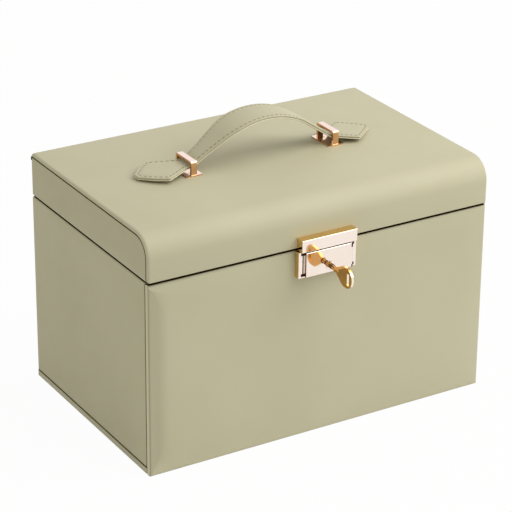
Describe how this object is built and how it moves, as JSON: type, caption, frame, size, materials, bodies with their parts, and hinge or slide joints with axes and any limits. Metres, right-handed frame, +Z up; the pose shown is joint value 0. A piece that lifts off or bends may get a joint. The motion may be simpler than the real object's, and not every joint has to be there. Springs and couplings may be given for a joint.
{
  "type": "jewellery case",
  "caption": "Rigid jewellery case with a lift lid, strap handle, keyed box lock, drop front, drawers and a sliding ring tray.",
  "frame": {"origin": "middle of the underside of the case body, on the surface it stands on", "axes": "+X to the right, +Y to the back, +Z up; the lock is on the -Y side"},
  "size_m": [0.3, 0.2343, 0.2316],
  "materials": {
    "leather": "smooth matt sage-green leatherette",
    "strap": "smooth sage-green strap leatherette with a pale cut edge",
    "velvet": "short-pile cream velvet",
    "velvet_pad": "cream velvet over foam",
    "gold": "polished pale rose gold plate",
    "key_gold": "polished warm brass",
    "steel": "bright nickelled steel",
    "mirror": "silvered glass"
  },
  "bodies": {
    "case": {"base_skin": "leather", "base_board": "leather", "floor_board": "velvet", "left_wall": "velvet", "right_wall": "velvet", "left_cover": "leather", "right_cover": "leather", "back_board": "leather", "shelf_1": "velvet", "shelf_2": "velvet", "compartment_floor": "velvet", "front_rail": "velvet", "rail_magnets": "steel", "compartment_lip": "velvet", "tray_runners": "velvet", "compartment_dividers": "velvet", "hinge_lower_leaves": "gold", "hinge_pins": "gold", "hinge_lower_screws": "gold"},
    "lid": {"lid_wrap": "leather", "lid_left_panel": "leather", "lid_right_panel": "leather", "lid_pad": "velvet_pad", "mirror_frame": "leather", "mirror": "mirror", "strike_block": "gold", "strike_screws": "gold", "handle_loop_left": "gold", "handle_loop_right": "gold", "loop_screws": "gold", "hinge_upper_leaves": "gold", "hinge_upper_screws": "gold"},
    "handle": {"handle_strap": "strap", "handle_backing": "strap"},
    "front_door": {"door_cover": "leather", "door_board": "leather", "door_magnets": "steel", "door_lining": "velvet", "lock_case": "gold", "lock_cover": "gold", "lock_screws": "gold"},
    "lock_plug": {"lock_cylinder": "gold", "lock_hook": "steel"},
    "turning_key": {"key_blade": "key_gold", "key_bow": "key_gold"},
    "drawer_1": {"drawer_1_box": "velvet", "drawer_1_front": "leather", "drawer_1_knob": "gold", "drawer_1_dividers": "velvet"},
    "drawer_2": {"drawer_2_box": "velvet", "drawer_2_front": "leather", "drawer_2_knob": "gold", "drawer_2_dividers": "velvet"},
    "drawer_3": {"drawer_3_box": "velvet", "drawer_3_front": "leather", "drawer_3_knob": "gold", "drawer_3_rolls": "velvet_pad"},
    "ring_tray": {"tray_box": "velvet", "tray_rolls": "velvet_pad", "tray_divider": "velvet"}
  },
  "joints": [
    {"name": "lid_open", "type": "hinge", "parent": "case", "child": "lid", "pos_m": [0, 0.0976, 0.158], "axis": [-1, 0, 0], "range_deg": [0, 100]},
    {"name": "handle_lift", "type": "slide", "parent": "lid", "child": "handle", "axis": [0, 0, 1], "range_m": [0, 0.0008]},
    {"name": "front_drop", "type": "hinge", "parent": "case", "child": "front_door", "pos_m": [0, -0.0945, 0.0006], "axis": [1, 0, 0], "range_deg": [0, 86.5]},
    {"name": "cylinder_turn", "type": "hinge", "parent": "front_door", "child": "lock_plug", "pos_m": [0, -0.1, 0.1433], "axis": [0, -1, 0], "range_deg": [0, 68]},
    {"name": "key_withdraw", "type": "slide", "parent": "lock_plug", "child": "turning_key", "axis": [0, -1, 0], "range_m": [0, 0.012]},
    {"name": "tray_slide", "type": "slide", "parent": "case", "child": "ring_tray", "axis": [0, -1, 0], "range_m": [0, 0.088]},
    {"name": "drawer_1_slide", "type": "slide", "parent": "case", "child": "drawer_1", "axis": [0, -1, 0], "range_m": [0, 0.0401]},
    {"name": "drawer_2_slide", "type": "slide", "parent": "case", "child": "drawer_2", "axis": [0, -1, 0], "range_m": [0, 0.0605]},
    {"name": "drawer_3_slide", "type": "slide", "parent": "case", "child": "drawer_3", "axis": [0, -1, 0], "range_m": [0, 0.0802]}
  ],
  "couplings": [
    {"joint": "drawer_1_slide", "follows": "front_drop", "m_per_rad": 0.0265},
    {"joint": "drawer_2_slide", "follows": "front_drop", "m_per_rad": 0.04},
    {"joint": "drawer_3_slide", "follows": "front_drop", "m_per_rad": 0.053}
  ]
}
